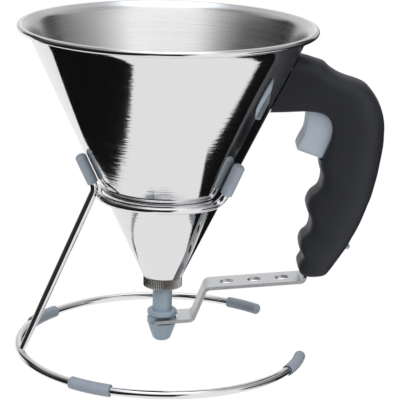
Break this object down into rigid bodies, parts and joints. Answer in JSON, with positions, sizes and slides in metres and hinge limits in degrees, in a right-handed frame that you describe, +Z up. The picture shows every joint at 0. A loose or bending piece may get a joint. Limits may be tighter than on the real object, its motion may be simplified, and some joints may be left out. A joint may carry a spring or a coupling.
{
  "type": "dispensing funnel",
  "caption": "Conical steel funnel with a pistol handle whose trigger lifts a sprung valve tube through a slotted flat bar, resting in a bent wire stand with plastic sleeves.",
  "frame": {"origin": "under the middle of the whole object's bounding box, at the level of its lowest faces, the undersides of the sleeves", "axes": "+Z up along the funnel's axis, +X from the funnel towards the handle, the handle's middle plane at y = 0, near side at -Y"},
  "size_m": [0.1856, 0.152, 0.1704],
  "materials": {
    "polished_steel": "polished with fine spin lines, satin inside",
    "chrome_wire": "bright drawn wire",
    "nut_steel": "knurled, dull",
    "bar_steel": "satin",
    "plain_steel": "turned or drawn",
    "charcoal_plastic": "fine matte texture",
    "light_plastic": "smooth satin",
    "nozzle_plastic": "smooth satin",
    "sleeve_plastic": "soft, matte",
    "seal_rubber": "smooth rubber"
  },
  "bodies": {
    "stand": {"base_ring": "chrome_wire", "leg_wire": "chrome_wire", "support_ring": "chrome_wire", "foot_sleeve_front": "sleeve_plastic", "foot_sleeve_back": "sleeve_plastic", "end_sleeve_front": "sleeve_plastic", "end_sleeve_back": "sleeve_plastic", "prong_sleeve_front": "sleeve_plastic", "prong_sleeve_back": "sleeve_plastic", "leg_sleeve": "sleeve_plastic"},
    "funnel": {"funnel_cone": "polished_steel", "threaded_spout": "plain_steel", "gland_seal": "seal_rubber", "handle_bracket": "plain_steel", "handle_half_near": "charcoal_plastic", "handle_half_far": "charcoal_plastic", "handle_screw_1": "plain_steel", "handle_screw_2": "plain_steel", "handle_screw_3": "plain_steel", "handle_screw_4": "plain_steel", "trigger_pin": "plain_steel", "guide_pin": "light_plastic"},
    "nut": {"knurled_nut": "nut_steel"},
    "trigger": {"trigger": "light_plastic"},
    "lift": {"lift_bar": "bar_steel", "return_spring": "plain_steel"},
    "nozzle": {"valve_tube": "nozzle_plastic", "valve_seal": "seal_rubber", "nozzle_tip": "nozzle_plastic"}
  },
  "joints": [
    {"name": "funnel_lift", "type": "slide", "parent": "stand", "child": "funnel", "axis": [0, 0, 1], "range_m": [0, 0.17]},
    {"name": "nut_turn", "type": "hinge", "parent": "funnel", "child": "nut", "pos_m": [-0.0168, 0, 0.037], "axis": [0, 0, 1], "range_deg": [-360, 0]},
    {"name": "trigger_pull", "type": "hinge", "parent": "funnel", "child": "trigger", "pos_m": [0.0607, 0, 0.1345], "axis": [0, -1, 0], "range_deg": [0, 14], "stiffness_Nm_per_rad": 0.6, "springref_deg": -14.32},
    {"name": "bar_lift", "type": "slide", "parent": "funnel", "child": "lift", "axis": [0, 0, 1], "range_m": [0, 0.0055], "deforming": ["return_spring"]},
    {"name": "nozzle_lift", "type": "slide", "parent": "funnel", "child": "nozzle", "axis": [0, 0, 1], "range_m": [0, 0.0055]}
  ],
  "couplings": [
    {"joint": "bar_lift", "follows": "trigger_pull", "m_per_rad": 0.0222},
    {"joint": "nozzle_lift", "follows": "trigger_pull", "m_per_rad": 0.0222}
  ]
}
